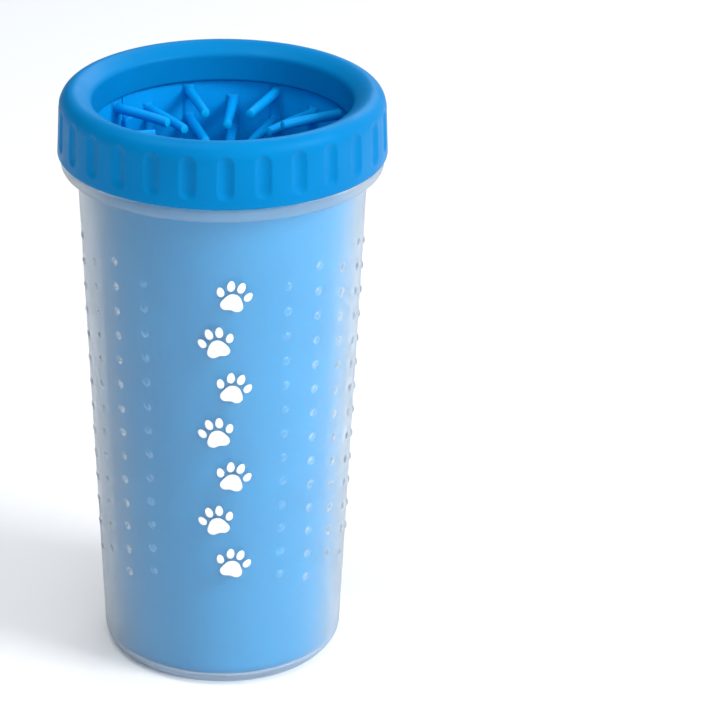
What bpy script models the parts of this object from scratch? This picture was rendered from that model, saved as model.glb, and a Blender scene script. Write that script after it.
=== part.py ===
"""Paw washer cup: a tapered cup, a screw-on ring lid, a seal, and a rolled
silicone insert lined with bristles. Metres, +Z up, origin at the centre of
the base. Azimuth 0 faces -Y (the front) and grows towards +X.
"""

import math

import bmesh
import bpy
from mathutils import Matrix, Vector

MM = 0.001

# ---------------------------------------------------------------- dimensions
# Cup: a straight taper with a shoulder flange and a threaded neck.
CUP_INNER_BASE_R = 35.6      # inner wall radius, extended down to z = 0
CUP_TAPER = 0.0398           # radius gained for each mm of height
CUP_WALL = 2.1
CUP_FLOOR_TOP_Z = 2.8
CUP_FLOOR_UNDER_Z = 0.6      # the middle of the base is recessed
FOOT_INNER_R = 28.0
FOOT_OUTER_R = 34.2
FLANGE_R = 49.0
FLANGE_BOTTOM_Z = 161.2
FLANGE_TOP_Z = 165.5
NECK_R = 45.0
NECK_TOP_Z = 178.0
ROUND_STEPS = 48

# Thread: single start, right hand.
THREAD_LEAD = 6.0
THREAD_WIRE_R = 1.2
CUP_THREAD_R = 45.1          # centre line of the ridge on the neck
CUP_THREAD_START_Z = 169.3
CUP_THREAD_TURNS = 1.0
LID_THREAD_R = 46.6          # centre line of the ridge inside the lid
LID_THREAD_BELOW = 2.4       # the lid's ridge runs this far under the neck's
LID_THREAD_TURNS = 1.0

# Lid ring.
LID_R = 50.0                 # at the foot of the skirt
LID_SHOULDER_R = 49.4        # the skirt's draft brings it in to this
LID_SHOULDER_Z = 179.8
LID_TOP_Z = 185.4
LID_BOTTOM_Z = 165.8
LID_CREST_R = 45.0
LID_SKIRT_INNER_R = 47.0
LID_CEILING_Z = 180.1
LID_PLUG_OUTER_R = 42.2
LID_PLUG_INNER_R = 38.75
LID_PLUG_BOTTOM_Z = 174.0
LID_MOUTH_R = 39.4
LID_STEPS = 84
GRIP_GROOVES = 28
GRIP_GROOVE_AZ = 1.0
GRIP_GROOVE_WIDTH = 5.4
GRIP_GROOVE_DEPTH = 0.9
GRIP_GROOVE_LOW_Z = 168.6
GRIP_GROOVE_HIGH_Z = 182.0

# Seal washer under the lid's ceiling.
SEAL_INNER_R = 42.7
SEAL_OUTER_R = 46.5
SEAL_BOTTOM_Z = 178.3
SEAL_TOP_Z = 179.8

# Silicone insert: one moulded sheet, rolled up and tucked at a seam.
INSERT_GAP = 0.4             # clearance to the cup's wall
INSERT_WALL = 1.8
INSERT_BOTTOM_Z = 3.2
INSERT_TOP_Z = 173.6
HEM_TOP_Z = 10.0
HEM_EXTRA = 1.5
SEAM_AZ = 230.4              # the two ends of the sheet meet beside a column
SEAM_GAP_DEG = 0.6
SEAM_TAB_AZ = 225.7
SEAM_TAB_SPAN_DEG = 12.0
SEAM_TAB_Z = (159.8, 114.0, 66.5, 18.2)
SEAM_TAB_HEIGHT = 14.0
SEAM_TAB_THICKNESS = 1.8

# Bristle columns, each a rib with its bristles.
COLUMNS = 18
FIRST_COLUMN_AZ = 15.3
PIECE_GAP = 0.3              # a column stands this far off the sheet
RIB_WIDTH = 3.8
RIB_DEPTH = 0.8              # barely proud of the sheet beside the bristles
RIB_LOW_DEPTH = 2.8          # and a deeper fin below them
RIB_ABOVE_BRISTLE = 2.2      # the rib ends this far above its top bristle
RIB_BOTTOM_Z = 10.8
BRISTLE_LENGTH = 20.0
BRISTLE_ROOT_R = 1.65
BRISTLE_TIP_R = 1.45
BRISTLE_DROOP_DEG = 3.0
BRISTLE_PITCH = 9.1
TALL_FIRST_Z = 170.9
TALL_ROWS = 15
SHORT_FIRST_Z = 166.9
SHORT_ROWS = 14


def cup_inner_r(z):
    return CUP_INNER_BASE_R + CUP_TAPER * z


def insert_outer_r(z):
    return cup_inner_r(z) - INSERT_GAP


def insert_inner_r(z):
    return insert_outer_r(z) - INSERT_WALL


def azimuth_point(az_deg, r, z):
    """A point at this azimuth, radius and height, in mm."""
    a = math.radians(az_deg)
    return Vector((r * math.sin(a), -r * math.cos(a), z))


# ------------------------------------------------------------ scene and tools
for old in list(bpy.data.objects):
    bpy.data.objects.remove(old, do_unlink=True)


def new_collection(name, hidden=False):
    collection = bpy.data.collections.new(name)
    bpy.context.scene.collection.children.link(collection)
    collection.hide_render = hidden
    return collection


PARTS = new_collection("paw_washer_cup")
CUTTERS = new_collection("cutters", hidden=True)


def material(name, colour, roughness, alpha=1.0):
    mat = bpy.data.materials.new(name)
    mat.use_nodes = True
    shader = mat.node_tree.nodes["Principled BSDF"]
    shader.inputs["Base Color"].default_value = (*colour, 1.0)
    shader.inputs["Roughness"].default_value = roughness
    shader.inputs["Metallic"].default_value = 0.0
    shader.inputs["Alpha"].default_value = alpha
    mat.diffuse_color = (*colour, alpha)
    return mat


FROSTED = material("frosted_plastic", (0.72, 0.82, 0.92), 0.45, 0.6)
LID_BLUE = material("lid_plastic", (0.0, 0.30, 0.78), 0.42)
SEAL_GREY = material("seal_silicone", (0.75, 0.78, 0.80), 0.6)
INSERT_BLUE = material("insert_silicone", (0.0, 0.27, 0.75), 0.55)
BRISTLE_BLUE = material("bristle_silicone", (0.0, 0.30, 0.80), 0.5)


def add_object(name, mesh, mat=None, collection=PARTS):
    obj = bpy.data.objects.new(name, mesh)
    collection.objects.link(obj)
    if mat is not None:
        mesh.materials.clear()
        mesh.materials.append(mat)
    if collection is CUTTERS:
        obj.hide_render = True
        obj.display_type = "WIRE"
    return obj


def smooth(mesh, degrees=35.0):
    mesh.shade_smooth()
    mesh.set_sharp_from_angle(angle=math.radians(degrees))


def turned(name, profile, steps, closed, mat=None, collection=PARTS):
    """A turned shape: a profile of (radius, z) in mm, spun once about Z."""
    mesh = bpy.data.meshes.new(name)
    bm = bmesh.new()
    verts = [bm.verts.new((r * MM, 0.0, z * MM)) for r, z in profile]
    for a, b in zip(verts, verts[1:]):
        bm.edges.new((a, b))
    if closed:
        bm.edges.new((verts[-1], verts[0]))
    bm.to_mesh(mesh)
    bm.free()
    obj = add_object(name, mesh, mat, collection)
    screw = obj.modifiers.new("turn", "SCREW")
    screw.axis = "Z"
    screw.angle = 2 * math.pi
    screw.steps = steps
    screw.render_steps = steps
    screw.use_merge_vertices = True
    screw.merge_threshold = 0.00001
    screw.use_smooth_shade = True
    return obj


def baked(obj):
    """The object's mesh with its modifiers applied."""
    bpy.context.view_layer.update()
    graph = bpy.context.evaluated_depsgraph_get()
    mesh = bpy.data.meshes.new_from_object(obj.evaluated_get(graph), depsgraph=graph)
    return mesh


def union(obj, other, name):
    mod = obj.modifiers.new(name, "BOOLEAN")
    mod.operation = "UNION"
    mod.solver = "EXACT"
    mod.object = other
    return mod


def difference(obj, other, name):
    mod = obj.modifiers.new(name, "BOOLEAN")
    mod.operation = "DIFFERENCE"
    mod.solver = "EXACT"
    mod.object = other
    return mod


def apply_modifiers(obj):
    """Replaces the object's mesh with its evaluated one."""
    mesh = baked(obj)
    mats = [m for m in obj.data.materials]
    obj.modifiers.clear()
    obj.data = mesh
    if not mesh.materials:
        for m in mats:
            mesh.materials.append(m)
    smooth(mesh)


def helix_ridge(name, radius, start_z, turns, start_az):
    """A round thread ridge: a wire along a helix, as a closed mesh."""
    curve = bpy.data.curves.new(name, "CURVE")
    curve.dimensions = "3D"
    curve.bevel_depth = THREAD_WIRE_R * MM
    curve.bevel_resolution = 2
    curve.use_fill_caps = True
    spline = curve.splines.new("POLY")
    count = int(round(turns * 48)) + 1
    spline.points.add(count - 1)
    for i in range(count):
        t = turns * i / (count - 1)
        p = azimuth_point(start_az + 360.0 * t, radius, start_z + THREAD_LEAD * t)
        spline.points[i].co = (p.x * MM, p.y * MM, p.z * MM, 1.0)
        # The ridge fades out at both of its ends.
        spline.points[i].radius = min(1.0, 0.55 + 6.0 * min(t, turns - t))
    wire = bpy.data.objects.new(name, curve)
    CUTTERS.objects.link(wire)
    mesh = baked(wire)
    bpy.data.objects.remove(wire, do_unlink=True)
    bm = bmesh.new()
    bm.from_mesh(mesh)
    bmesh.ops.remove_doubles(bm, verts=bm.verts, dist=0.000001)
    bmesh.ops.recalc_face_normals(bm, faces=bm.faces)
    bm.to_mesh(mesh)
    bm.free()
    return add_object(name, mesh, None, CUTTERS)


# ------------------------------------------------------------------- cup body
def make_cup():
    wall_top = cup_inner_r(NECK_TOP_Z)

    def outer(z):
        return cup_inner_r(z) + CUP_WALL

    profile = [
        (0.0, CUP_FLOOR_TOP_Z),
        (34.8, CUP_FLOOR_TOP_Z),
        (cup_inner_r(3.3) - 0.25, 3.2),
        (cup_inner_r(4.4), 4.4),
        (cup_inner_r(60.0), 60.0),
        (cup_inner_r(120.0), 120.0),
        (wall_top, NECK_TOP_Z - 0.4),
        (wall_top + 0.4, NECK_TOP_Z),
        (NECK_R - 0.5, NECK_TOP_Z),
        (NECK_R, NECK_TOP_Z - 0.5),
        (NECK_R, FLANGE_TOP_Z + 0.5),
        (NECK_R + 0.5, FLANGE_TOP_Z),
        (FLANGE_R - 0.4, FLANGE_TOP_Z),
        (FLANGE_R, FLANGE_TOP_Z - 0.4),
        (FLANGE_R, FLANGE_BOTTOM_Z + 1.3),
        (FLANGE_R - 0.6, FLANGE_BOTTOM_Z + 0.4),
        (FLANGE_R - 1.8, FLANGE_BOTTOM_Z),
        (outer(FLANGE_BOTTOM_Z) + 0.7, FLANGE_BOTTOM_Z - 0.1),
        (outer(FLANGE_BOTTOM_Z - 1.0), FLANGE_BOTTOM_Z - 1.0),
        (outer(120.0), 120.0),
        (outer(60.0), 60.0),
        (outer(4.6), 4.6),
        (outer(4.6) - 0.45, 2.6),
        (outer(4.6) - 1.25, 1.1),
        (FOOT_OUTER_R + 1.0, 0.25),
        (FOOT_OUTER_R, 0.0),
        (FOOT_INNER_R, 0.0),
        (FOOT_INNER_R - 0.8, CUP_FLOOR_UNDER_Z),
        (0.0, CUP_FLOOR_UNDER_Z),
    ]
    cup = turned("cup_body", profile, ROUND_STEPS, False, FROSTED)
    ridge = helix_ridge(
        "cup_thread", CUP_THREAD_R, CUP_THREAD_START_Z, CUP_THREAD_TURNS, 90.0
    )
    union(cup, ridge, "thread")
    apply_modifiers(cup)
    return cup


# ------------------------------------------------------------------- lid ring
def make_lid():
    # The shoulder is a quarter of an ellipse between the crest and the skirt.
    across = LID_SHOULDER_R - LID_CREST_R
    rise = LID_TOP_Z - LID_SHOULDER_Z
    profile = [(LID_CREST_R, LID_TOP_Z)]
    for degrees in (25.0, 48.0, 69.0, 90.0):
        a = math.radians(degrees)
        profile.append(
            (LID_CREST_R + across * math.sin(a), LID_SHOULDER_Z + rise * math.cos(a))
        )
    profile += [
        (LID_R, LID_BOTTOM_Z + 0.5),
        (LID_R - 0.5, LID_BOTTOM_Z),
        (LID_SKIRT_INNER_R + 0.3, LID_BOTTOM_Z),
        (LID_SKIRT_INNER_R, LID_BOTTOM_Z + 0.4),
        (LID_SKIRT_INNER_R, LID_CEILING_Z),
        (LID_PLUG_OUTER_R, LID_CEILING_Z),
        (LID_PLUG_OUTER_R, LID_PLUG_BOTTOM_Z + 0.5),
        (LID_PLUG_OUTER_R - 0.5, LID_PLUG_BOTTOM_Z),
        (LID_PLUG_INNER_R + 0.4, LID_PLUG_BOTTOM_Z),
        (LID_PLUG_INNER_R, LID_PLUG_BOTTOM_Z + 0.4),
        (LID_MOUTH_R - 0.1, LID_TOP_Z - 3.8),
        (LID_MOUTH_R + 0.3, LID_TOP_Z - 2.9),
        (LID_MOUTH_R + 0.9, LID_TOP_Z - 2.1),
        (LID_MOUTH_R + 3.1, LID_TOP_Z - 0.8),
    ]
    lid = turned("lid_ring", profile, LID_STEPS, True, LID_BLUE)
    ridge = helix_ridge(
        "lid_thread",
        LID_THREAD_R,
        CUP_THREAD_START_Z - LID_THREAD_BELOW,
        LID_THREAD_TURNS,
        90.0,
    )
    union(lid, ridge, "thread")

    # Finger grooves: upright capsules that bite into the skirt.
    half = GRIP_GROOVE_WIDTH / 2
    r = half * half / (2 * GRIP_GROOVE_DEPTH) + GRIP_GROOVE_DEPTH / 2
    mid = (GRIP_GROOVE_HIGH_Z + GRIP_GROOVE_LOW_Z) / 2
    stretch = (GRIP_GROOVE_HIGH_Z - GRIP_GROOVE_LOW_Z) / 2 - half
    draft = (LID_R - LID_SHOULDER_R) / (LID_SHOULDER_Z - LID_BOTTOM_Z)
    wall_r = LID_R - draft * (mid - LID_BOTTOM_Z)
    lean = Matrix.Rotation(-math.atan(draft), 4, "X")
    mesh = bpy.data.meshes.new("grip_cutters")
    bm = bmesh.new()
    # An odd number of rings leaves no ring on the equator, so the two halves of
    # the sphere are pulled apart into a capsule with one straight run between.
    sphere_r = r / math.cos(math.pi / 14)
    for i in range(GRIP_GROOVES):
        az = GRIP_GROOVE_AZ + 360.0 * i / GRIP_GROOVES
        made = bmesh.ops.create_uvsphere(
            bm, u_segments=16, v_segments=7, radius=sphere_r * MM
        )["verts"]
        for v in made:
            v.co.z += math.copysign(stretch * MM, v.co.z)
        spin = Matrix.Rotation(math.radians(az), 4, "Z")
        place = Matrix.Translation(
            azimuth_point(az, wall_r - GRIP_GROOVE_DEPTH + r, mid) * MM
        )
        bmesh.ops.transform(bm, matrix=place @ spin @ lean, verts=made)
    bmesh.ops.recalc_face_normals(bm, faces=bm.faces)
    bm.to_mesh(mesh)
    bm.free()
    cutters = add_object("grip_cutters", mesh, None, CUTTERS)
    difference(lid, cutters, "grip_grooves")
    apply_modifiers(lid)
    return lid


# ----------------------------------------------------------------------- seal
def make_seal():
    profile = [
        (SEAL_OUTER_R, SEAL_TOP_Z),
        (SEAL_OUTER_R, SEAL_BOTTOM_Z),
        (SEAL_INNER_R, SEAL_BOTTOM_Z),
        (SEAL_INNER_R, SEAL_TOP_Z),
    ]
    seal = turned("lid_seal", profile, ROUND_STEPS, True, SEAL_GREY)
    return seal


# --------------------------------------------------------------------- insert
def swept_arc(name, profile, start_az, span, steps, mat):
    """A closed (radius, z) outline in mm swept part of the way round Z."""
    mesh = bpy.data.meshes.new(name)
    bm = bmesh.new()
    face = bm.faces.new(
        [bm.verts.new(azimuth_point(start_az, r, z) * MM) for r, z in profile]
    )
    bmesh.ops.spin(
        bm,
        geom=[face] + list(face.edges) + list(face.verts),
        cent=(0, 0, 0),
        axis=(0, 0, 1),
        angle=math.radians(span),
        steps=steps,
        use_duplicate=False,
    )
    bmesh.ops.remove_doubles(bm, verts=bm.verts, dist=0.000001)
    bmesh.ops.recalc_face_normals(bm, faces=bm.faces)
    bm.to_mesh(mesh)
    bm.free()
    smooth(mesh)
    return add_object(name, mesh, mat)


def make_sheet():
    hem_r = insert_inner_r(HEM_TOP_Z) - HEM_EXTRA
    profile = [
        (insert_outer_r(INSERT_TOP_Z), INSERT_TOP_Z),
        (insert_outer_r(120.0), 120.0),
        (insert_outer_r(60.0), 60.0),
        (insert_outer_r(5.2), 5.2),
        (insert_outer_r(5.2) - 1.0, INSERT_BOTTOM_Z),
        (insert_inner_r(INSERT_BOTTOM_Z) - HEM_EXTRA + 0.5, INSERT_BOTTOM_Z),
        (insert_inner_r(INSERT_BOTTOM_Z) - HEM_EXTRA, INSERT_BOTTOM_Z + 0.6),
        (hem_r, HEM_TOP_Z - 1.6),
        (hem_r + 0.6, HEM_TOP_Z - 0.5),
        (insert_inner_r(HEM_TOP_Z), HEM_TOP_Z),
        (insert_inner_r(60.0), 60.0),
        (insert_inner_r(120.0), 120.0),
        (insert_inner_r(INSERT_TOP_Z), INSERT_TOP_Z),
    ]
    return swept_arc(
        "insert_sheet",
        profile,
        SEAM_AZ + SEAM_GAP_DEG / 2,
        360.0 - SEAM_GAP_DEG,
        54,
        INSERT_BLUE,
    )


def make_seam_tabs():
    """Four tucked tabs that lie across the seam and hold the roll shut."""
    for number, z in enumerate(SEAM_TAB_Z, 1):
        low, high = z - SEAM_TAB_HEIGHT / 2, z + SEAM_TAB_HEIGHT / 2
        profile = [
            (insert_inner_r(high) - PIECE_GAP, high),
            (insert_inner_r(low) - PIECE_GAP, low),
            (insert_inner_r(low) - PIECE_GAP - SEAM_TAB_THICKNESS + 0.5, low),
            (insert_inner_r(low) - PIECE_GAP - SEAM_TAB_THICKNESS, low + 0.5),
            (insert_inner_r(high) - PIECE_GAP - SEAM_TAB_THICKNESS, high - 0.5),
            (insert_inner_r(high) - PIECE_GAP - SEAM_TAB_THICKNESS + 0.5, high),
        ]
        swept_arc(
            f"seam_tab_{number}",
            profile,
            SEAM_TAB_AZ - SEAM_TAB_SPAN_DEG / 2,
            SEAM_TAB_SPAN_DEG,
            4,
            INSERT_BLUE,
        )


def column_mesh(name, first_z, rows):
    """One rib with its bristles, at azimuth 0, as one closed body."""
    back = lambda z: insert_inner_r(z) - PIECE_GAP
    last_z = first_z - (rows - 1) * BRISTLE_PITCH
    low_top = last_z - 4.0
    rib_top = first_z + RIB_ABOVE_BRISTLE
    outline = [
        (back(rib_top), rib_top),
        (back(RIB_BOTTOM_Z), RIB_BOTTOM_Z),
        (back(RIB_BOTTOM_Z) - RIB_DEPTH, RIB_BOTTOM_Z),
        (back(RIB_BOTTOM_Z + 5.0) - RIB_LOW_DEPTH, RIB_BOTTOM_Z + 5.0),
        (back(low_top - 2.0) - RIB_LOW_DEPTH, low_top - 2.0),
        (back(low_top) - RIB_DEPTH, low_top),
        (back(rib_top) - RIB_DEPTH, rib_top),
    ]
    mesh = bpy.data.meshes.new(name)
    bm = bmesh.new()
    left = [bm.verts.new((-RIB_WIDTH / 2 * MM, -r * MM, z * MM)) for r, z in outline]
    face = bm.faces.new(left)
    made = bmesh.ops.extrude_face_region(bm, geom=[face])["geom"]
    moved = [v for v in made if isinstance(v, bmesh.types.BMVert)]
    bmesh.ops.translate(bm, vec=(RIB_WIDTH * MM, 0, 0), verts=moved)
    bmesh.ops.recalc_face_normals(bm, faces=bm.faces)
    bm.to_mesh(mesh)
    bm.free()
    rib = add_object(name, mesh, BRISTLE_BLUE, CUTTERS)

    pins = bpy.data.meshes.new(name + "_pins")
    bm = bmesh.new()
    droop = math.radians(BRISTLE_DROOP_DEG)
    for row in range(rows):
        z = first_z - row * BRISTLE_PITCH
        root_r = back(z) - 0.3
        length = BRISTLE_LENGTH - PIECE_GAP - 0.3
        verts = bmesh.ops.create_cone(
            bm,
            cap_ends=True,
            cap_tris=False,
            segments=6,
            radius1=BRISTLE_ROOT_R * MM,
            radius2=BRISTLE_TIP_R * MM,
            depth=length * MM,
        )["verts"]
        # The cone's axis is turned from +Z to point inwards (+Y at azimuth 0),
        # drooping a little towards its tip.
        turn = Matrix.Rotation(-math.pi / 2 - droop, 4, "X")
        middle = Vector(
            (
                0.0,
                -root_r + math.cos(droop) * length / 2,
                z - math.sin(droop) * length / 2,
            )
        )
        bmesh.ops.transform(
            bm, matrix=Matrix.Translation(middle * MM) @ turn, verts=verts
        )
    bmesh.ops.recalc_face_normals(bm, faces=bm.faces)
    bm.to_mesh(pins)
    bm.free()
    cutter = add_object(name + "_pins", pins, BRISTLE_BLUE, CUTTERS)
    union(rib, cutter, "bristles")
    whole = baked(rib)
    whole.name = name
    bpy.data.objects.remove(rib, do_unlink=True)
    whole.materials.clear()
    whole.materials.append(BRISTLE_BLUE)
    smooth(whole)
    return whole


def make_columns():
    tall = column_mesh("tall_column", TALL_FIRST_Z, TALL_ROWS)
    short = column_mesh("short_column", SHORT_FIRST_Z, SHORT_ROWS)
    for i in range(COLUMNS):
        az = FIRST_COLUMN_AZ + 360.0 * i / COLUMNS
        mesh = short if i % 2 == 0 else tall
        obj = bpy.data.objects.new(f"bristle_column_{i + 1:02d}", mesh)
        PARTS.objects.link(obj)
        obj.rotation_euler = (0.0, 0.0, math.radians(az))


make_cup()
make_lid()
make_seal()
make_sheet()
make_seam_tabs()
make_columns()
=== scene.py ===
"""Looks of the paw washer cup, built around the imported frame."""
import math

import bmesh
import bpy
import numpy as np
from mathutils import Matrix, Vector


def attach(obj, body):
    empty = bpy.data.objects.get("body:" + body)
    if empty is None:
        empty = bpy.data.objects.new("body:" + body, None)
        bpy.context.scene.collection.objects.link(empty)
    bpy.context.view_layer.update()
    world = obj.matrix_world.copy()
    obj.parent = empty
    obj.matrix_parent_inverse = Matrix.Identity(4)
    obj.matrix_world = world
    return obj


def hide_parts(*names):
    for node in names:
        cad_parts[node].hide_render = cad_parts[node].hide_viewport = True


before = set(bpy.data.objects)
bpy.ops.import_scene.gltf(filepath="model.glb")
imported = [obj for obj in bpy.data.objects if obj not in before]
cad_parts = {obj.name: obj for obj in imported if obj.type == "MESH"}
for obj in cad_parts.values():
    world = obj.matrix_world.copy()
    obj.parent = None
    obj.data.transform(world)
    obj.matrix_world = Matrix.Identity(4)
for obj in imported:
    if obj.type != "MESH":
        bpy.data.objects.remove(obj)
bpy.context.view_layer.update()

MM = 0.001
rad = math.radians

# ---------------------------------------------------------------- dimensions
# These repeat part.py's, in mm.
CUP_INNER_BASE_R = 35.6
CUP_TAPER = 0.0398
CUP_WALL = 2.1
NECK_R = 45.0
NECK_TOP_Z = 178.0
FLANGE_R = 49.0
FLANGE_BOTTOM_Z = 161.2
FLANGE_TOP_Z = 165.5
THREAD_LEAD = 6.0
CUP_THREAD_START_Z = 169.3
LID_THREAD_BELOW = 2.4
COLUMNS = 18
FIRST_COLUMN_AZ = 15.3
SEAM_AZ = 230.4
SEAM_TAB_AZ = 225.7
SEAM_TAB_Z = (159.8, 114.0, 66.5, 18.2)
GRIP_GROOVES = 28
GRIP_GROOVE_AZ = 1.0
DOT_FIRST_AZ = -3.08
DOT_COLUMNS = 24
PRINT_AZ = 1.0


def cup_inner_r(z):
    return CUP_INNER_BASE_R + CUP_TAPER * z


def cup_outer_r(z):
    return cup_inner_r(z) + CUP_WALL


def insert_outer_r(z):
    return cup_inner_r(z) - 0.4


def insert_inner_r(z):
    return insert_outer_r(z) - 1.8


# ------------------------------------------------------------------- meshing
def az_xyz(az, r, z):
    """Arrays of azimuth (degrees), radius and height in mm to points in m."""
    a = np.radians(az)
    return np.stack([r * np.sin(a), -r * np.cos(a), z + 0 * r * a], -1) * MM


def make_object(name, verts, faces, mat, smooth_deg=40.0):
    mesh = bpy.data.meshes.new(name)
    mesh.from_pydata([tuple(v) for v in np.asarray(verts, float)], [], [tuple(f) for f in faces])
    mesh.validate()
    mesh.update()
    # Every piece is one closed body, and its faces point out.
    body = bmesh.new()
    body.from_mesh(mesh)
    inside_out = body.calc_volume(signed=True) < 0
    body.free()
    if inside_out:
        mesh.flip_normals()
        mesh.update()
    obj = bpy.data.objects.new(name, mesh)
    bpy.context.scene.collection.objects.link(obj)
    if mat is not None:
        mesh.materials.append(mat)
    mesh.shade_smooth()
    if smooth_deg < 180:
        mesh.set_sharp_from_angle(angle=rad(smooth_deg))
    return obj


def grid_faces(nu, nv, wrap_u=False, wrap_v=False, base=0, flip=False):
    """Quads of a (nu, nv) grid of points."""
    iu = np.arange(nu if wrap_u else nu - 1)
    iv = np.arange(nv if wrap_v else nv - 1)
    a, b = np.meshgrid(iu, iv, indexing="ij")
    a2, b2 = (a + 1) % nu, (b + 1) % nv
    q = np.stack([a * nv + b, a2 * nv + b, a2 * nv + b2, a * nv + b2], -1).reshape(-1, 4)
    if flip:
        q = q[:, ::-1]
    return (q + base).tolist()


def arc(cx, cz, r, a0, a1, n, rz=None):
    """Points of an arc in the (radius, z) plane; angles in degrees from +r."""
    t = np.radians(np.linspace(a0, a1, n))
    return [(cx + r * math.cos(x), cz + (rz or r) * math.sin(x)) for x in t]


def line(p, q, n):
    """n points from p towards q, without q."""
    return [
        (p[0] + (q[0] - p[0]) * i / n, p[1] + (q[1] - p[1]) * i / n) for i in range(n)
    ]


def smoothstep(x):
    x = np.clip(x, 0.0, 1.0)
    return x * x * (3 - 2 * x)


class Builder:
    """Collects rings and faces of one mesh, with points in mm."""

    def __init__(self):
        self.v = []
        self.f = []

    def add(self, p):
        self.v.append(p)
        return len(self.v) - 1

    def ring(self, az, r, z):
        a = np.radians(az)
        pts = np.stack([r * np.sin(a), -r * np.cos(a), z + 0 * a], -1)
        first = len(self.v)
        self.v.extend(map(tuple, pts))
        return list(range(first, first + len(pts)))

    def join(self, upper, lower):
        """Quads between two closed rings; upper comes before lower down an
        outer side, so the faces look outwards."""
        n = len(upper)
        for i in range(n):
            j = (i + 1) % n
            self.f.append((upper[i], lower[i], lower[j], upper[j]))

    def fan(self, ring, centre, flip=False):
        n = len(ring)
        for i in range(n):
            j = (i + 1) % n
            self.f.append((ring[j], ring[i], centre) if flip else (ring[i], ring[j], centre))


# ----------------------------------------------------------------- materials
def new_material(name):
    mat = bpy.data.materials.new(name)
    mat.use_nodes = True
    nt = mat.node_tree
    return mat, nt, nt.nodes["Principled BSDF"]


def node(nt, kind, **values):
    n = nt.nodes.new(kind)
    for key, value in values.items():
        if key in n.inputs:
            n.inputs[key].default_value = value
        else:
            setattr(n, key, value)
    return n


def noise(nt, scale, detail=2.0, rough=0.5, coords=None, stretch=None):
    tex = node(nt, "ShaderNodeTexNoise", Scale=scale, Detail=detail, Roughness=rough)
    src = coords or nt.nodes.get("coords") or node(nt, "ShaderNodeTexCoord", name="coords")
    out = src.outputs["Object"]
    if stretch:
        mp = node(nt, "ShaderNodeMapping")
        mp.inputs["Scale"].default_value = stretch
        nt.links.new(out, mp.inputs["Vector"])
        out = mp.outputs["Vector"]
    nt.links.new(out, tex.inputs["Vector"])
    return tex.outputs["Fac"]


def ramp(nt, fac, stops):
    n = nt.nodes.new("ShaderNodeValToRGB")
    els = n.color_ramp.elements
    while len(els) < len(stops):
        els.new(0.5)
    for e, (pos, col) in zip(els, stops):
        e.position = pos
        e.color = (*col, 1.0) if len(col) == 3 else col
    nt.links.new(fac, n.inputs["Fac"])
    return n.outputs["Color"]


def map_range(nt, fac, lo, hi, a=0.3, b=0.7):
    n = node(nt, "ShaderNodeMapRange")
    n.inputs["From Min"].default_value = a
    n.inputs["From Max"].default_value = b
    n.inputs["To Min"].default_value = lo
    n.inputs["To Max"].default_value = hi
    nt.links.new(fac, n.inputs["Value"])
    return n.outputs["Result"]


def bump(nt, height, strength, distance, normal=None):
    n = node(nt, "ShaderNodeBump", Strength=strength, Distance=distance)
    nt.links.new(height, n.inputs["Height"])
    if normal is not None:
        nt.links.new(normal, n.inputs["Normal"])
    return n.outputs["Normal"]


def plastic(name, dark, mid, light, rough, fine=2600.0, fine_mm=0.004, ior=1.49, coarse=38.0):
    """Moulded plastic: faint flow mottling, a fine spark-eroded grain, and
    roughness that wanders a little."""
    mat, nt, p = new_material(name)
    flow = noise(nt, coarse, 3.0, 0.55)
    nt.links.new(ramp(nt, flow, [(0.25, dark), (0.5, mid), (0.75, light)]), p.inputs["Base Color"])
    wander = noise(nt, 120.0, 2.0)
    nt.links.new(map_range(nt, wander, rough - 0.05, rough + 0.06), p.inputs["Roughness"])
    grain = noise(nt, fine, 2.0, 0.6)
    soft = noise(nt, 420.0, 2.0, 0.5)
    n1 = bump(nt, grain, 0.35, fine_mm * MM)
    n2 = bump(nt, soft, 0.25, 0.02 * MM, n1)
    nt.links.new(n2, p.inputs["Normal"])
    p.inputs["IOR"].default_value = ior
    return mat, nt, p


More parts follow.
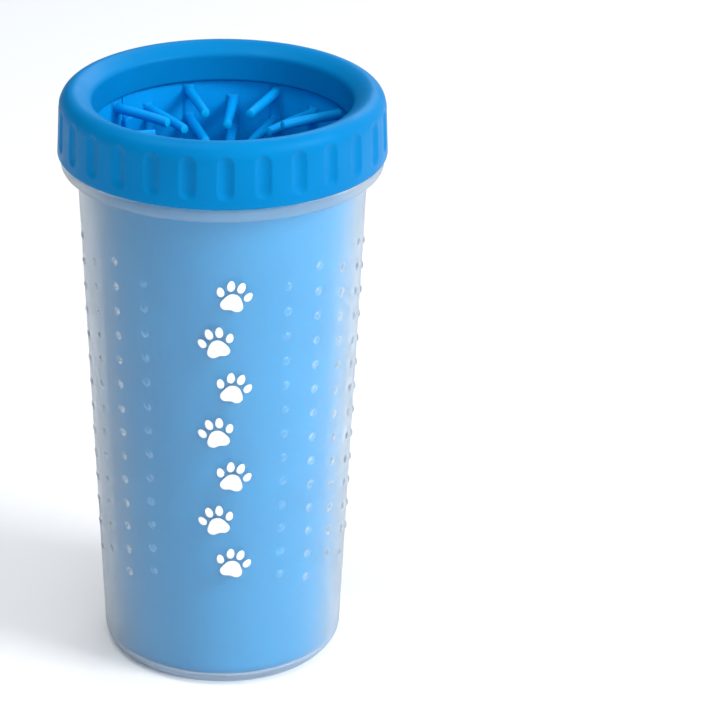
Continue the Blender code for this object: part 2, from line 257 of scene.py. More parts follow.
def make_materials():
    mats = {}
    # Lid: satin blue moulded plastic.
    lid, nt, p = plastic(
        "lid_plastic", (0.0, 0.180, 0.455), (0.0, 0.194, 0.485), (0.0, 0.208, 0.515), 0.42
    )
    p.inputs["Specular IOR Level"].default_value = 0.14
    p.inputs["Specular Tint"].default_value = (0.25, 0.70, 1.0, 1.0)
    mats["lid"] = lid

    # Silicone: matt and soft, with a light bloom.
    def silicone(name, dark, mid, light, rough=0.5):
        mat, nt, p = plastic(name, dark, mid, light, rough, fine=1800.0, fine_mm=0.006, ior=1.43, coarse=60.0)
        p.inputs["Specular IOR Level"].default_value = 0.25
        p.inputs["Specular Tint"].default_value = (0.35, 0.75, 1.0, 1.0)
        p.inputs["Subsurface Weight"].default_value = 0.06
        p.inputs["Subsurface Radius"].default_value = (0.2, 0.6, 1.0)
        p.inputs["Subsurface Scale"].default_value = 0.0012
        return mat

    mats["sheet"] = silicone(
        "insert_silicone", (0.0, 0.305, 0.740), (0.0, 0.330, 0.78), (0.0, 0.352, 0.82)
    )
    # The sheet's outer side is the same silicone in a darker blue, a little rougher. The inner side's lighter blue is
    # painted light, standing in for light that comes in through the frosted cup, so the two sides are lit and shaded
    # copies of one material.
    mats["sheet_outside"] = silicone(
        "insert_silicone_outside_shaded_copy", (0.0, 0.272, 0.560), (0.0, 0.290, 0.590), (0.0, 0.308, 0.620), 0.55
    )
    mats["bristle"] = silicone(
        "bristle_silicone", (0.0, 0.270, 0.680), (0.0, 0.292, 0.72), (0.0, 0.315, 0.76), 0.46
    )
    # The bristles' cut ends get a lighter blue than the shafts: a painted highlight for the light that falls on the cut
    # ends.
    mats["tip"] = silicone(
        "bristle_tip_painted_highlight", (0.0, 0.42, 0.86), (0.0, 0.45, 0.90), (0.0, 0.48, 0.93), 0.5
    )
    mats["tab"] = silicone(
        "tab_silicone", (0.0, 0.270, 0.680), (0.0, 0.292, 0.72), (0.0, 0.315, 0.76), 0.48
    )
    mats["seal"] = plastic(
        "seal_silicone", (0.62, 0.66, 0.70), (0.68, 0.72, 0.75), (0.73, 0.76, 0.79), 0.55
    )[0]

    # Cup: frosted translucent polypropylene. The flange, the neck and the foot
    # are thicker than the wall, so they look milkier. The foot's blue tint is
    # painted light: it stands in for the insert's blue glowing through the milky foot.
    def frosted(name, clear, low, high, rough=0.36, sheen=0.07, coat=0.18, coat_rough=0.24):
        mat, nt, p = new_material(name)
        flow = noise(nt, 22.0, 3.0, 0.5, stretch=(1.0, 1.0, 0.35))
        nt.links.new(ramp(nt, flow, [(0.25, low), (0.75, high)]), p.inputs["Base Color"])
        p.inputs["Transmission Weight"].default_value = clear
        p.inputs["IOR"].default_value = 1.38
        wander = noise(nt, 90.0, 2.0)
        nt.links.new(map_range(nt, wander, 0.92 * rough, 1.08 * rough), p.inputs["Roughness"])
        p.inputs["Sheen Weight"].default_value = sheen
        p.inputs["Sheen Roughness"].default_value = 0.55
        p.inputs["Sheen Tint"].default_value = (0.68, 0.74, 1.0, 1.0)
        if sheen:
            p.inputs["Coat Weight"].default_value = coat
            p.inputs["Coat Roughness"].default_value = coat_rough
            p.inputs["Coat IOR"].default_value = 1.45
        ripple = noise(nt, 260.0, 2.0, 0.5)
        nt.links.new(bump(nt, ripple, 0.2, 0.01 * MM), p.inputs["Normal"])
        return mat

    mats["cup"] = frosted("frosted_plastic", 0.95, (0.770, 0.855, 0.905), (0.800, 0.880, 0.925))
    # The dots come off polished pits in the mould, so they are glossier.
    mats["cup_dots"] = frosted(
        "frosted_dots", 0.945, (0.78, 0.865, 0.915), (0.81, 0.89, 0.935), 0.34, 0.12, 1.0, 0.16
    )
    mats["cup_inside"] = frosted(
        "frosted_inside", 0.97, (0.95, 0.98, 1.0), (0.98, 0.995, 1.0), 0.12, 0.0
    )
    mats["cup_thick"] = frosted("frosted_thick", 0.84, (0.78, 0.88, 0.95), (0.83, 0.91, 0.97))
    # Painted glow: the foot is tinted blue for the insert's light carried down through it.
    mats["cup_foot"] = frosted("frosted_foot_painted_glow", 0.62, (0.52, 0.70, 0.88), (0.56, 0.73, 0.90))

    ink, nt, p = new_material("print_ink")
    wear = noise(nt, 900.0, 3.0, 0.6)
    nt.links.new(
        ramp(nt, wear, [(0.3, (0.86, 0.88, 0.90)), (0.6, (0.94, 0.95, 0.96))]),
        p.inputs["Base Color"],
    )
    nt.links.new(map_range(nt, wear, 0.36, 0.5), p.inputs["Roughness"])
    nt.links.new(bump(nt, wear, 0.2, 0.004 * MM), p.inputs["Normal"])
    mats["ink"] = ink
    return mats


MAT = make_materials()

# ----------------------------------------------------------------------- cup
AZ_STEP = 2.5
CUP_AZ = DOT_FIRST_AZ - 7.5 + AZ_STEP * np.arange(144)
CELL_DIV = 6
CELL_MM = 8.2
ROW_MM = CELL_MM / CELL_DIV
LATTICE_TOP_Z = 145.3
LATTICE_ROWS = 14 * CELL_DIV
DOT_RINGS = ((1.85, 0.0), (1.36, 0.01), (1.24, 0.07), (1.10, 0.19), (0.86, 0.35), (0.58, 0.45), (0.28, 0.495))
DOT_TOP = 0.51
PLAIN_COLUMNS = (-1, 0, 1)


def wall_point(az, z, out=0.0):
    """A point on the cup's outer wall, in mm, raised by out."""
    a = rad(az)
    slope = math.atan(CUP_TAPER)
    r = cup_outer_r(z) + out * math.cos(slope)
    return (r * math.sin(a), -r * math.cos(a), z - out * math.sin(slope))


def thread_height(az, z, start_z, turns=1.0, half=1.2, crest=1.3):
    """Height of a helical ridge that starts at azimuth 90 and rises
    anticlockwise, at each (az, z)."""
    t0 = ((az - 90.0) % 360.0) / 360.0
    best = np.zeros(np.broadcast(az, z).shape)
    for k in (0, 1):
        t = t0 + k
        fade = smoothstep(t / 0.06) * smoothstep((turns - t) / 0.06)
        d = np.abs(z - (start_z + THREAD_LEAD * t))
        best = np.maximum(best, crest * fade * smoothstep((half - d) / (0.55 * half)))
    return best


def make_cup():
    b = Builder()
    n = len(CUP_AZ)

    inner = []
    inner += line((33.6, 2.8), (34.6, 2.85), 1)
    inner += arc(34.55, 4.0, 1.2, -80, -5, 6)
    inner += line((cup_inner_r(5.2), 5.2), (cup_inner_r(177.4), 177.4), 16)
    inner += arc(cup_inner_r(177.4) + 0.6, 177.4, 0.6, 180, 90, 5)
    inner += arc(NECK_R - 0.6, 177.4, 0.6, 90, 0, 5)
    neck_z = np.arange(177.2, 166.25, -0.25)
    below = []
    below += arc(NECK_R + 0.7, 166.2, 0.7, 180, 270, 5)
    below += arc(FLANGE_R - 0.7, FLANGE_TOP_Z - 0.7, 0.7, 90, 0, 6)
    below += line((FLANGE_R, 164.2), (FLANGE_R, 162.9), 3)
    below += arc(FLANGE_R - 1.7, FLANGE_BOTTOM_Z + 1.7, 1.7, 0, -90, 8)
    root = cup_outer_r(160.2)
    below += line((FLANGE_R - 2.4, FLANGE_BOTTOM_Z), (root + 1.2, FLANGE_BOTTOM_Z), 2)
    below += arc(root + 1.15, FLANGE_BOTTOM_Z - 1.15, 1.15, 90, 178, 7)
    below += line((cup_outer_r(158.8), 158.8), (cup_outer_r(LATTICE_TOP_Z), LATTICE_TOP_Z), 6)

    rings = [b.ring(CUP_AZ, r, z) for r, z in inner]
    for z in neck_z:
        h = thread_height(CUP_AZ, z, CUP_THREAD_START_Z)
        rings.append(b.ring(CUP_AZ, NECK_R + h, z))
    rings += [b.ring(CUP_AZ, r, z) for r, z in below]
    # The rings run up the inside and down the outside.
    for a, c in zip(rings, rings[1:]):
        b.join(a, c)
    floor_in = b.ring(CUP_AZ, 20.0, 2.8)
    b.join(floor_in, rings[0])
    gate = b.ring(CUP_AZ, 2.2, 2.8)
    b.join(gate, floor_in)
    b.fan(gate, b.add((0, 0, 2.8)))

    # The wall's lattice: a plain grid, with a raised dot in most cells.
    lattice = [[None] * (LATTICE_ROWS + 1) for _ in range(n)]

    def at(i, j):
        i %= n
        if lattice[i][j] is None:
            z = LATTICE_TOP_Z - ROW_MM * j
            lattice[i][j] = b.add(wall_point(CUP_AZ[i], z))
        return lattice[i][j]

    def plain(i0, j0, wide, tall):
        for i in range(i0, i0 + wide):
            for j in range(j0, j0 + tall):
                b.f.append((at(i, j), at(i, j + 1), at(i + 1, j + 1), at(i + 1, j)))

    half = CELL_DIV // 2
    domes = []
    for k in range(DOT_COLUMNS):
        signed = k if k <= DOT_COLUMNS // 2 else k - DOT_COLUMNS
        i0 = k * CELL_DIV
        if signed in PLAIN_COLUMNS:
            plain(i0, 0, CELL_DIV, LATTICE_ROWS)
            continue
        first = half if k % 2 == 0 else 0
        cells = 13 if k % 2 == 0 else 14
        if first:
            plain(i0, 0, CELL_DIV, half)
            plain(i0, LATTICE_ROWS - half, CELL_DIV, half)
        az_c = DOT_FIRST_AZ + 15.0 * k
        for c in range(cells):
            j0 = first + c * CELL_DIV
            z_c = LATTICE_TOP_Z - ROW_MM * (j0 + half)
            # The cell's edge, walked from its upper left corner down its left
            # side, along the bottom, up the right side and back.
            edge = [at(i0, j0 + m) for m in range(CELL_DIV)]
            edge += [at(i0 + m, j0 + CELL_DIV) for m in range(CELL_DIV)]
            edge += [at(i0 + CELL_DIV, j0 + CELL_DIV - m) for m in range(CELL_DIV)]
            edge += [at(i0 + CELL_DIV - m, j0) for m in range(CELL_DIV)]
            previous = edge
            r_c = cup_outer_r(z_c)
            for level, (rho, h) in enumerate(DOT_RINGS):
                ring = []
                for m in range(4 * CELL_DIV):
                    a = rad(135.0 + 15.0 * m)
                    s, t = rho * math.cos(a), rho * math.sin(a)
                    ring.append(b.add(wall_point(az_c + math.degrees(s / r_c), z_c + t, h)))
                for m in range(4 * CELL_DIV):
                    w = (m + 1) % (4 * CELL_DIV)
                    if level > 1:
                        domes.append(len(b.f))
                    b.f.append((previous[m], previous[w], ring[w], ring[m]))
                previous = ring
            top = b.add(wall_point(az_c, z_c, DOT_TOP))
            for m in range(4 * CELL_DIV):
                domes.append(len(b.f))
                b.f.append((previous[m], previous[(m + 1) % (4 * CELL_DIV)], top))

    top_ring = [at(i, 0) for i in range(n)]
    b.join(rings[-1], top_ring)
    low_z = LATTICE_TOP_Z - ROW_MM * LATTICE_ROWS

    foot = []
    foot += line((cup_outer_r(24.0), 24.0), (cup_outer_r(6.4), 6.4), 4)
    foot += arc(cup_outer_r(5.2) - 5.2, 5.2, 5.2, 0, -62, 12, rz=5.15)
    foot += arc(34.3, 0.35, 0.9, -25, -90, 4, rz=0.35)
    foot += [(32.0, 0.0), (28.9, 0.0)]
    foot += arc(28.6, 0.3, 0.3, -90, -150, 3)
    foot += [(27.9, 0.55), (27.4, 0.6), (20.0, 0.6), (12.0, 0.6), (3.2, 0.6), (2.6, 0.5), (2.2, 0.42), (1.6, 0.4)]
    previous = [at(i, LATTICE_ROWS) for i in range(n)]
    for r, z in foot:
        ring = b.ring(CUP_AZ, r, z)
        b.join(previous, ring)
        previous = ring
    b.fan(previous, b.add((0, 0, 0.4)), flip=True)
    obj = make_object("cup_shell", np.array(b.v) * MM, b.f, MAT["cup"], 50)
    mesh = obj.data
    mesh.materials.append(MAT["cup_thick"])
    mesh.materials.append(MAT["cup_inside"])
    mesh.materials.append(MAT["cup_foot"])
    mesh.materials.append(MAT["cup_dots"])
    for poly in mesh.polygons:
        z = poly.center.z / MM
        r = math.hypot(poly.center.x, poly.center.y) / MM
        if r < cup_inner_r(z) + 0.3 and z > 2.5:
            poly.material_index = 2
        elif z > 160.6 and r > cup_outer_r(z) + 0.1:
            poly.material_index = 1
        elif z < 4.8 and r > 27.0:
            # The foot ring: blue-tinted, a painted glow.
            poly.material_index = 3
        elif z < 3.6:
            poly.material_index = 1
    for face in domes:
        mesh.polygons[face].material_index = 4
    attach(obj, "cup")
    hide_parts("cup_body")
    return obj


# ----------------------------------------------------------------------- lid
LID_LOW_R = 50.0
LID_HIGH_R = 49.4
LID_TOP_Z = 185.4
GROOVE_HALF = 2.6
GROOVE_DEPTH = 0.95
GROOVE_LOW_Z = 168.6
GROOVE_HIGH_Z = 182.0


def groove_depth(s, z):
    """Depth of a finger groove at arc distance s and height z, in mm."""
    lo, hi = GROOVE_LOW_Z + GROOVE_HALF, GROOVE_HIGH_Z - GROOVE_HALF
    dz = np.maximum(np.maximum(lo - z, z - hi), 0.0)
    rho = np.sqrt(s * s + dz * dz) / GROOVE_HALF
    x = np.clip(1.0 - rho * rho, 0.0, 1.0)
    # A small round where the hollow meets the skirt.
    return GROOVE_DEPTH * np.where(x < 0.12, x * x / 0.24, x - 0.06)


def lid_wall_r(z):
    return LID_LOW_R + (LID_HIGH_R - LID_LOW_R) * (z - 166.3) / (179.8 - 166.3)


def make_lid():
    steps = np.array(
        [-5.2, -4.3, -3.5, -2.95, -2.6, -2.35, -2.0, -1.5, -0.9, -0.3, 0.3, 0.9, 1.5, 2.0, 2.35, 2.6, 2.95, 3.5, 4.3]
    )
    per = 360.0 / GRIP_GROOVES
    mm_per_deg = math.pi * 49.7 / 180
    az, off = [], []
    for g in range(GRIP_GROOVES):
        for s in steps:
            az.append(GRIP_GROOVE_AZ + per * g + s / mm_per_deg)
            off.append(s)
    az, off = np.array(az), np.array(off)

    outer = []
    outer += [(r, z, 1) for r, z in arc(45.0, 179.8, 4.4, 90, 45, 8, rz=5.6)]
    # Down the rounded shoulder and the skirt, close together where a groove ends.
    for t in np.linspace(43, 2, 14):
        outer.append((45.0 + 4.4 * math.cos(rad(t)), 179.8 + 5.6 * math.sin(rad(t)), 1))
    zs = list(np.linspace(179.8, 171.6, 14)) + list(np.linspace(171.2, 168.2, 10)) + [167.6, 166.9]
    outer += [(lid_wall_r(z), z, 1) for z in zs]
    outer += [(r, z, 0) for r, z in arc(49.4, 166.4, 0.6, 0, -90, 6)]
    inner = [(47.55, 165.8, 0)]
    inner += [(r, z, 0) for r, z in arc(47.5, 166.3, 0.5, -100, -180, 5)]
    skirt = [(47.0, z, 2) for z in np.arange(166.6, 179.6, 0.28)]
    ceiling = [(r, z, 0) for r, z in arc(46.5, 179.6, 0.5, 0, 90, 4)]
    ceiling += [(44.5, 180.1, 0)]
    ceiling += [(r, z, 0) for r, z in arc(42.7, 179.6, 0.5, 90, 180, 4)]
    plug = [(42.2, 178.0, 0), (42.2, 176.0, 0)]
    plug += [(r, z, 0) for r, z in arc(41.6, 174.6, 0.6, 0, -90, 5)]
    plug += [(r, z, 0) for r, z in arc(39.3, 174.5, 0.5, -90, -180, 5)]
    mouth = [(38.8 + 0.55 * t, 174.5 + 6.9 * t, 0) for t in np.linspace(0.08, 1.0, 8)]
    # Round the mouth's edge and run up the gently sloping top to the crest.
    mouth += [(39.42, 181.9, 0), (39.62, 182.35, 0), (39.98, 182.8, 0), (40.5, 183.22, 0)]
    mouth += [(41.2, 183.72, 0), (42.0, 184.25, 0), (42.9, 184.75, 0), (43.7, 185.1, 0), (44.4, 185.32, 0)]
    profile = outer + inner + skirt + ceiling + plug + mouth

    pts = []
    for r, z, kind in profile:
        rr = np.full(len(az), float(r))
        if kind == 1:
            rr = rr - groove_depth(off, z)
        elif kind == 2:
            rr = rr - thread_height(az, z, CUP_THREAD_START_Z - LID_THREAD_BELOW, crest=1.55)
        a = np.radians(az)
        pts.append(np.stack([rr * np.sin(a), -rr * np.cos(a), np.full(len(az), z)], -1))
    pts = np.array(pts) * MM
    nv, nu = pts.shape[:2]
    faces = grid_faces(nv, nu, True, True)
    obj = make_object("lid", pts.reshape(-1, 3), faces, MAT["lid"], 50)
    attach(obj, "lid")
    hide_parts("lid_ring")
    return obj


# ---------------------------------------------------------------------- seal
def make_seal():
    profile = []
    profile += arc(46.2, 179.5, 0.3, 90, 0, 4)
    profile += arc(46.2, 178.6, 0.3, 0, -90, 4)
    profile += [(45.4, 178.3), (45.0, 178.45), (44.2, 178.45), (43.8, 178.3)]
    profile += arc(43.0, 178.6, 0.3, -90, -180, 4)
    profile += arc(43.0, 179.5, 0.3, 180, 90, 4)
    profile += [(43.8, 179.8), (44.2, 179.65), (45.0, 179.65), (45.4, 179.8)]
    az = np.arange(0, 360, 2.5)
    pts = np.array([az_xyz(az, np.full(len(az), r), z) for r, z in profile])
    obj = make_object("seal_washer", pts.reshape(-1, 3), grid_faces(len(profile), len(az), True, True), MAT["seal"], 40)
    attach(obj, "seal")
    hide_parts("lid_seal")


# -------------------------------------------------------------------- insert
def make_sheet():
    """The rolled sheet: its section swept round, open at the seam."""
    outer = [(insert_outer_r(z), z) for z in (173.25, 150.0, 120.0, 90.0, 60.0, 30.0, 6.0)]
    section = arc(insert_outer_r(173.25) - 0.35, 173.25, 0.35, 90, 0, 4)[:-1] + outer
    section += arc(insert_outer_r(5.0) - 1.3, 4.5, 1.3, 0, -90, 6)
    ri = insert_inner_r(3.2) - 1.5
    section += arc(ri + 0.7, 3.9, 0.7, -90, -180, 6)
    hem = insert_inner_r(9.0) - 1.5
    section += [(ri + 0.1, 5.5), (hem, 8.0)]
    section += arc(hem + 1.0, 8.6, 1.0, 180, 100, 6)
    section += arc(insert_inner_r(10.8) - 0.5, 10.3, 0.6, -75, 0, 5)
    section += [(insert_inner_r(z), z) for z in (12.5, 30.0, 60.0, 90.0, 120.0, 150.0, 172.9)]
    section += arc(insert_inner_r(172.9) + 0.7, 172.9, 0.7, 180, 92, 5)[1:]
    section = np.array(section)
    n = 208
    az = SEAM_AZ + 0.3 + (360.0 - 0.6) * np.arange(n) / (n - 1)
    # The sheet springs very slightly off its round, as rolled silicone does.
    pts = []
    for a in az:
        w = 0.10 * math.sin(rad(a) * 3 + 0.6)
        pts.append(az_xyz(np.full(len(section), a), section[:, 0] + w * 0.6, section[:, 1]))
    pts = np.array(pts)
    m = len(section)
    verts = pts.reshape(-1, 3)
    faces = grid_faces(n, m, False, True)
    faces.append(tuple(range(m)))
    faces.append(tuple((n - 1) * m + i for i in reversed(range(m))))
    obj = make_object("insert_liner", verts, faces, MAT["sheet"], 45)
    mesh = obj.data
    mesh.materials.append(MAT["sheet_outside"])
    # The outer faces get the darker copy: the two tones are painted light and shade, not two different silicones.
    for poly in mesh.polygons:
        z = poly.center.z / MM
        r = math.hypot(poly.center.x, poly.center.y) / MM
        if r > insert_outer_r(z) - 0.5 and z < 173.2:
            poly.material_index = 1
    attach(obj, "insert")
    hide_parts("insert_sheet")
    return obj


PIECE_GAP = 0.05
RIB_HALF = 1.75
BRISTLE_SIDES = 16
BRISTLE_LENGTH = 20.0
BRISTLE_PITCH = 9.1
RIB_ABOVE = 2.2


def column(index):
    """One upright rib and its row of bristles, as one closed surface.

    The rib's crown is a grid along z with a square cell wherever a bristle
    rises, and the bristle grows out of that cell."""
    az = FIRST_COLUMN_AZ + 20.0 * index
    tall = index % 2 == 1
    first_z, rows = (170.9, 15) if tall else (166.9, 14)
    rng = np.random.default_rng(1000 + index)
    last_z = first_z - (rows - 1) * BRISTLE_PITCH
    verts, faces = [], []

    def put(x, y, z):
        verts.append((x, y, z))
        return len(verts) - 1

    # Local frame in mm: x across, y inwards from the sheet's face, z up. At
    # height z the sheet's face is at radius insert_inner_r(z).
    half_cell = 1.85
    rows_z = []
    top = first_z + RIB_ABOVE
    z_list = [("end", top)]
    for i in range(rows):
        zc = first_z - i * BRISTLE_PITCH
        z_list.append(("cell", zc))
    # Heights of the cross sections down the rib.
    heights = [top, top - 0.10, top - 0.30]
    cells = []
    for kind, zc in z_list[1:]:
        hi, lo = min(zc + half_cell, heights[-1] - 0.05), zc - half_cell
        heights.append(hi)
        cells.append((len(heights) - 1, zc))
        heights += [hi - (hi - lo) * t for t in (0.25, 0.5, 0.75, 1.0)]
        if zc - BRISTLE_PITCH > last_z - 1:
            heights.append(zc - BRISTLE_PITCH / 2)
    low_top = last_z - 4.0
    heights += [last_z - 2.6, low_top, low_top - 0.7, low_top - 1.6, low_top - 2.6]
    z = low_top - 6.0
    while z > 18.0:
        heights.append(z)
        z -= 5.0
    heights += [15.8, 14.0, 12.2, 11.3, 11.0]

    def depth(z):
        """How far the rib stands off the sheet: low beside the bristles, high
        below them, and run out into the hem."""
        up = 0.55 + 2.35 * smoothstep((low_top - z) / 2.6)
        if z < 15.8:
            up = 1.2 + (up - 1.2) * smoothstep((z - 11.0) / 4.8)
        up *= 0.30 + 0.70 * smoothstep((top - z) / 0.30)
        return float(up)

    # The rib's section, from its left foot over its crown to its right foot.
    def section(z):
        d = depth(z)
        w = RIB_HALF
        f = min(0.42, 0.5 * d)
        return [
            (-w - 0.55, 0.0),
            (-w - 0.18, 0.18 * d),
            (-w, 0.45 * d),
            (-w + 0.10, d - f * 0.75),
            (-w + f, d - 0.08 * f / 0.42),
            (-0.875, d), (0.0, d), (0.875, d),
            (w - f, d - 0.08 * f / 0.42),
            (w - 0.10, d - f * 0.75),
            (w, 0.45 * d),
            (w + 0.18, 0.18 * d),
            (w + 0.55, 0.0),
        ]

    m = 13
    left, right = 4, 8
    grid = []
    for j, z in enumerate(heights):
        grid.append([put(x, y, z) for x, y in section(z)])
    skip = set()
    for j0, zc in cells:
        for j in range(j0, j0 + 4):
            for i in range(left, right):
                skip.add((j, i))
    for j in range(len(heights) - 1):
        for i in range(m - 1):
            if (j, i) in skip:
                continue
            faces.append((grid[j][i], grid[j + 1][i], grid[j + 1][i + 1], grid[j][i + 1]))
    # Close the top and bottom ends and the back.
    faces.append(tuple(reversed(grid[0])))
    faces.append(tuple(grid[-1]))
    for j in range(len(heights) - 1):
        faces.append((grid[j][m - 1], grid[j + 1][m - 1], grid[j + 1][0], grid[j][0]))

    painted_highlight_tip_faces = []
    for j0, zc in cells:
        # The cell's 16 edge points, from its upper left corner downwards.
        edge = [grid[j0 + k][left] for k in range(4)]
        edge += [grid[j0 + 4][left + k] for k in range(4)]
        edge += [grid[j0 + 4 - k][right] for k in range(4)]
        edge += [grid[j0][right - k] for k in range(4)]
        d = depth(zc)
        droop = rad(2.2 + 1.6 * rng.random())
        if index == 13 and zc > 165:
            droop = rad(-1.0)
        sway = rad(1.8 * (rng.random() - 0.5))
        length = BRISTLE_LENGTH - 0.15
        run = length - d
        stations = [
            (0.10, 1.78), (0.35, 1.70), (0.8, 1.645), (1.6, 1.62),
            (run * 0.25, 1.60), (run * 0.5, 1.555), (run * 0.75, 1.505),
            (run - 1.0, 1.46), (run - 0.30, 1.45), (run - 0.09, 1.40), (run, 1.26),
        ]
        previous = edge
        for t, r in stations:
            bend = (t / run) ** 2
            cy = d + t
            cz = zc - math.tan(droop) * t * (0.35 + 0.65 * bend)
            cx = math.tan(sway) * t * bend
            ring = []
            for k in range(16):
                a = rad(135.0 + 22.5 * k)
                ring.append(put(cx + r * math.cos(a), cy, cz + r * math.sin(a)))
            for k in range(16):
                w = (k + 1) % 16
                faces.append((previous[k], previous[w], ring[w], ring[k]))
            previous = ring
        # A shallow dish in the cut end.
        tip = put(cx, d + run - 0.03, cz)
        for k in range(16):
            painted_highlight_tip_faces.append(len(faces))
            faces.append((previous[k], previous[(k + 1) % 16], tip))

    v = np.array(verts, float)
    # Lay the rib along the sheet's sloping face.
    r = insert_inner_r(v[:, 2]) - PIECE_GAP - v[:, 1]
    # The rib's foot follows the sheet's curve.
    r = r - np.where(v[:, 1] < 0.01, v[:, 0] ** 2 / (2 * insert_inner_r(v[:, 2])), 0.0)
    a = rad(az)
    x = r * math.sin(a) + v[:, 0] * math.cos(a)
    y = -r * math.cos(a) + v[:, 0] * math.sin(a)
    pts = np.stack([x, y, v[:, 2]], -1) * MM
    obj = make_object(f"bristle_row_{index + 1:02d}", pts, faces, MAT["bristle"], 42)
    # The cut ends take the lighter tip material, a painted highlight.
    obj.data.materials.append(MAT["tip"])
    for face in painted_highlight_tip_faces:
        obj.data.polygons[face].material_index = 1
    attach(obj, "insert")
    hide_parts(f"bristle_column_{index + 1:02d}")
    return obj


def make_tabs():
    """Four tabs, each a thick rounded strap lying across the seam."""
    for number, zc in enumerate(SEAM_TAB_Z, 1):
        span_mm = rad(12.0) * insert_inner_r(zc)
        half_w, half_h = span_mm / 2, 7.0
        # A rounded outline, drawn in from the edge in steps for a soft rim.
        def outline(inset, n=9, r=1.6):
            out = []
            for cx, cy, a0 in ((1, 1, 0), (-1, 1, 90), (-1, -1, 180), (1, -1, 270)):
                for t in np.linspace(a0, a0 + 90, n):
                    rr = max(r - inset, 0.15)
                    out.append((cx * (half_w - r) + rr * math.cos(rad(t)), cy * (half_h - r) + rr * math.sin(rad(t))))
            return out

        layers = [(0.35, 0.0), (0.1, 0.1), (0.0, 0.35), (0.0, 1.15), (0.12, 1.45), (0.35, 1.63), (0.7, 1.7), (1.6, 1.68)]
        verts, faces = [], []
        rings = []
        for inset, h in layers:
            ring = []
            for s, t in outline(inset):
                ring.append(len(verts))
                verts.append((s, h, t))
            rings.append(ring)
        n = len(rings[0])
        for a, c in zip(rings, rings[1:]):
            for i in range(n):
                j = (i + 1) % n
                faces.append((a[i], a[j], c[j], c[i]))
        faces.append(tuple(reversed(rings[0])))
        faces.append(tuple(rings[-1]))
        v = np.array(verts)
        z = zc + v[:, 2]
        r = insert_inner_r(z) - 0.12 - v[:, 1]
        a = np.radians(SEAM_TAB_AZ) + v[:, 0] / insert_inner_r(zc)
        pts = np.stack([r * np.sin(a), -r * np.cos(a), z], -1) * MM
        obj = make_object(f"tab_{number}", pts, faces, MAT["tab"], 45)
        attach(obj, "insert")
        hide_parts(f"seam_tab_{number}")


cup_shell = make_cup()
make_lid()
make_seal()
make_sheet()
for i in range(COLUMNS):
    column(i)
make_tabs()


# --------------------------------------------------------------------- print
def blob(cx, cy, rx, ry, turn, n=40, point=0.0):
    """An oval outline; point above 0 narrows its upper end."""
    out = []
    for t in np.linspace(0, 2 * math.pi, n, endpoint=False):
        x, y = rx * math.cos(t), ry * math.sin(t)
        x *= 1.0 - point * (y / ry)
        c, s = math.cos(turn), math.sin(turn)
        out.append((cx + c * x - s * y, cy + s * x + c * y))
    return out


def pad_outline(n=64):
    """The big pad of a generic paw print: a rounded triangle with a slightly
    hollowed lower edge, about 1 across."""
    out = []
    for t in np.linspace(0, 2 * math.pi, n, endpoint=False):
        r = 0.50 + 0.045 * math.cos(3 * (t - math.pi / 2)) - 0.02 * math.cos(2 * t)
        x, y = r * 1.06 * math.cos(t), r * 0.86 * math.sin(t)
        if math.sin(t) < 0:
            y += 0.10 * math.exp(-(x / 0.20) ** 2)
        out.append((x, y))
    return out


def paw_shapes(size):
    """Outlines of one paw print: a pad and four toes."""
    shapes = [[(x * size * 0.62, y * size * 0.62 - 0.20 * size) for x, y in pad_outline()]]
    for cx, cy, rx, ry, turn in (
        (-0.40, 0.08, 0.105, 0.150, 0.45),
        (-0.150, 0.32, 0.112, 0.165, 0.14),
        (0.150, 0.32, 0.112, 0.165, -0.14),
        (0.40, 0.08, 0.105, 0.150, -0.45),
    ):
        shapes.append(blob(cx * size, cy * size, rx * size, ry * size, turn, point=0.10))
    return shapes


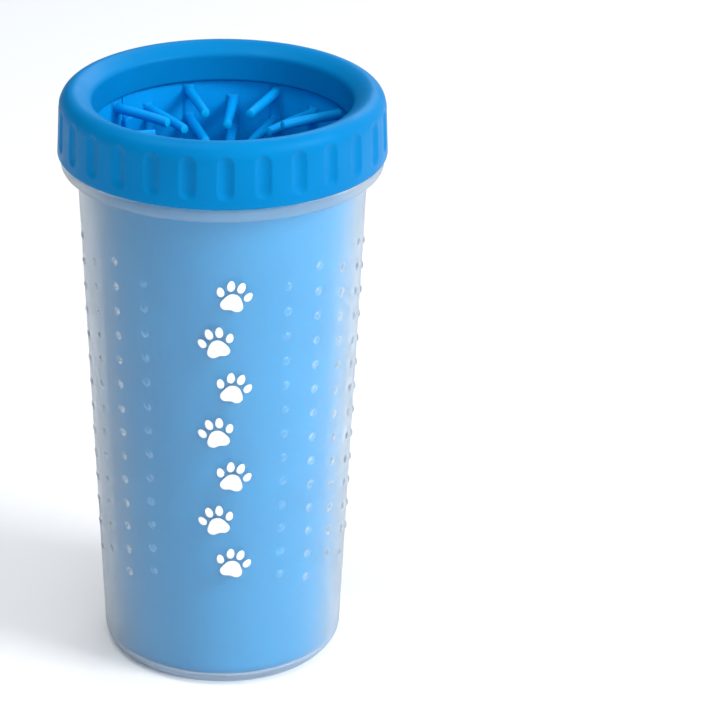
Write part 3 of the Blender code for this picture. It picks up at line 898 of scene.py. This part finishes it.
def make_print():
    """A trail of paw prints walking up the plain panel, as a thin ink film."""
    b = Builder()
    top_z, low_z, count = 135.5, 44.5, 7
    for i in range(count):
        z0 = top_z + (low_z - top_z) * i / (count - 1)
        side = 1 if i % 2 == 0 else -1
        size = 10.6
        turn = rad(-13.0 * side)
        x0 = 2.55 * side
        for shape in paw_shapes(size):
            pts = []
            for x, y in shape:
                c, s = math.cos(turn), math.sin(turn)
                pts.append((x0 + c * x - s * y, c * y + s * x))
            n = len(pts)
            cx, cy = sum(p[0] for p in pts) / n, sum(p[1] for p in pts) / n
            layers = []
            for grow, h in ((1.0, 0.005), (1.0, 0.045), (0.985, 0.06)):
                ring = []
                for x, y in pts:
                    u, w = cx + (x - cx) * grow, cy + (y - cy) * grow
                    z = z0 + w
                    ring.append(b.add(wall_point(PRINT_AZ + math.degrees(u / cup_outer_r(z)), z, h)))
                layers.append(ring)
            for a, c2 in zip(layers, layers[1:]):
                for k in range(n):
                    j = (k + 1) % n
                    b.f.append((a[k], a[j], c2[j], c2[k]))
            # The top skin: rings drawn in to the middle, so that it follows the wall.
            previous = layers[-1]
            for grow in (0.8, 0.6, 0.4, 0.2):
                ring = []
                for x, y in pts:
                    u, w = cx + (x - cx) * grow, cy + (y - cy) * grow
                    z = z0 + w
                    ring.append(b.add(wall_point(PRINT_AZ + math.degrees(u / cup_outer_r(z)), z, 0.06)))
                for k in range(n):
                    j = (k + 1) % n
                    b.f.append((previous[k], previous[j], ring[j], ring[k]))
                previous = ring
            z = z0 + cy
            b.fan(previous, b.add(wall_point(PRINT_AZ + math.degrees(cx / cup_outer_r(z)), z, 0.06)))
            # The underside, the same way.
            previous = layers[0]
            for grow in (0.8, 0.6, 0.4, 0.2):
                ring = []
                for x, y in pts:
                    u, w = cx + (x - cx) * grow, cy + (y - cy) * grow
                    z = z0 + w
                    ring.append(b.add(wall_point(PRINT_AZ + math.degrees(u / cup_outer_r(z)), z, 0.005)))
                for k in range(n):
                    j = (k + 1) % n
                    b.f.append((previous[j], previous[k], ring[k], ring[j]))
                previous = ring
            z = z0 + cy
            b.fan(previous, b.add(wall_point(PRINT_AZ + math.degrees(cx / cup_outer_r(z)), z, 0.005)), flip=True)
    obj = make_object("printed_panel", np.array(b.v) * MM, b.f, MAT["ink"], 60)
    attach(obj, "cup")


make_print()


# --------------------------------------------------------------------- stage
def make_stage(cup):
    mat, nt, p = new_material("studio_floor")
    p.inputs["Base Color"].default_value = (0.96, 0.962, 0.966, 1.0)
    p.inputs["Roughness"].default_value = 0.6
    # A hair under the foot, so that the two never share a plane.
    bpy.ops.mesh.primitive_plane_add(size=80.0, location=(0, 0, -0.00005))
    floor = bpy.context.object
    floor.name = "studio_floor"
    floor.data.materials.append(mat)

    # A wide soft sky: bright on the right and overhead, dimmer on the left.
    world = bpy.data.worlds.new("studio")
    bpy.context.scene.world = world
    world.use_nodes = True
    wt = world.node_tree
    bg = wt.nodes["Background"]
    coords = wt.nodes.new("ShaderNodeTexCoord")
    side = wt.nodes.new("ShaderNodeVectorMath")
    side.operation = "DOT_PRODUCT"
    side.inputs[1].default_value = Vector((0.92, -0.20, 0.36)).normalized()
    wt.links.new(coords.outputs["Generated"], side.inputs[0])
    spread = wt.nodes.new("ShaderNodeMapRange")
    spread.inputs["From Min"].default_value = -0.5
    spread.inputs["From Max"].default_value = 1.0
    spread.inputs["To Min"].default_value = 0.03
    spread.inputs["To Max"].default_value = 1.02
    wt.links.new(side.outputs["Value"], spread.inputs["Value"])
    wt.links.new(spread.outputs["Result"], bg.inputs["Strength"])
    bg.inputs["Color"].default_value = (0.88, 0.93, 1.0, 1.0)

    # The frosted wall passes part of the light that falls on it. The front
    # lamps' passed share ignores the cup as a blocker, and the rest doesn't.
    see_through = bpy.data.collections.new("lamp_blockers")
    see_through.objects.link(cup)
    see_through.collection_objects[0].light_linking.link_state = "EXCLUDE"

    def area(name, location, target, size, power, passes=False):
        data = bpy.data.lights.new(name, "AREA")
        data.shape = "RECTANGLE"
        data.size, data.size_y = size
        data.energy = power
        obj = bpy.data.objects.new(name, data)
        bpy.context.scene.collection.objects.link(obj)
        obj.location = location
        obj.rotation_euler = (Vector(target) - Vector(location)).to_track_quat("-Z", "Y").to_euler()
        if passes:
            obj.light_linking.blocker_collection = see_through
        return obj

    area("key_passed", (0.95, -0.45, 0.95), (0, 0, 0.12), (0.45, 0.45), 7.0, True)
    area("key_stopped", (0.95, -0.45, 0.95), (0, 0, 0.12), (0.45, 0.45), 4.5)
    area("fill", (0.1, -1.4, 0.75), (0, 0, 0.09), (1.0, 0.6), 3.6, True)
    area("rim", (0.35, 0.9, 0.7), (0, 0, 0.12), (0.6, 0.4), 2.0)
    area("top", (-0.35, -0.15, 1.30), (0, 0, 0.12), (0.7, 0.7), 6.0)


make_stage(cup_shell)

camera = bpy.data.cameras.new("camera")
camera.sensor_width = 36.0
camera.lens = 156.68
camera.shift_x = 0.1909
camera.shift_y = 0.0691
camera.clip_start = 0.01
rig = bpy.data.objects.new("camera", camera)
bpy.context.scene.collection.objects.link(rig)
rig.location = (0.0, -0.89036, 0.50379)
rig.rotation_euler = (rad(90.0 - 25.54), 0.0, 0.0)
bpy.context.scene.camera = rig
bpy.context.scene.view_settings.view_transform = "Standard"
bpy.context.scene.view_settings.look = "None"
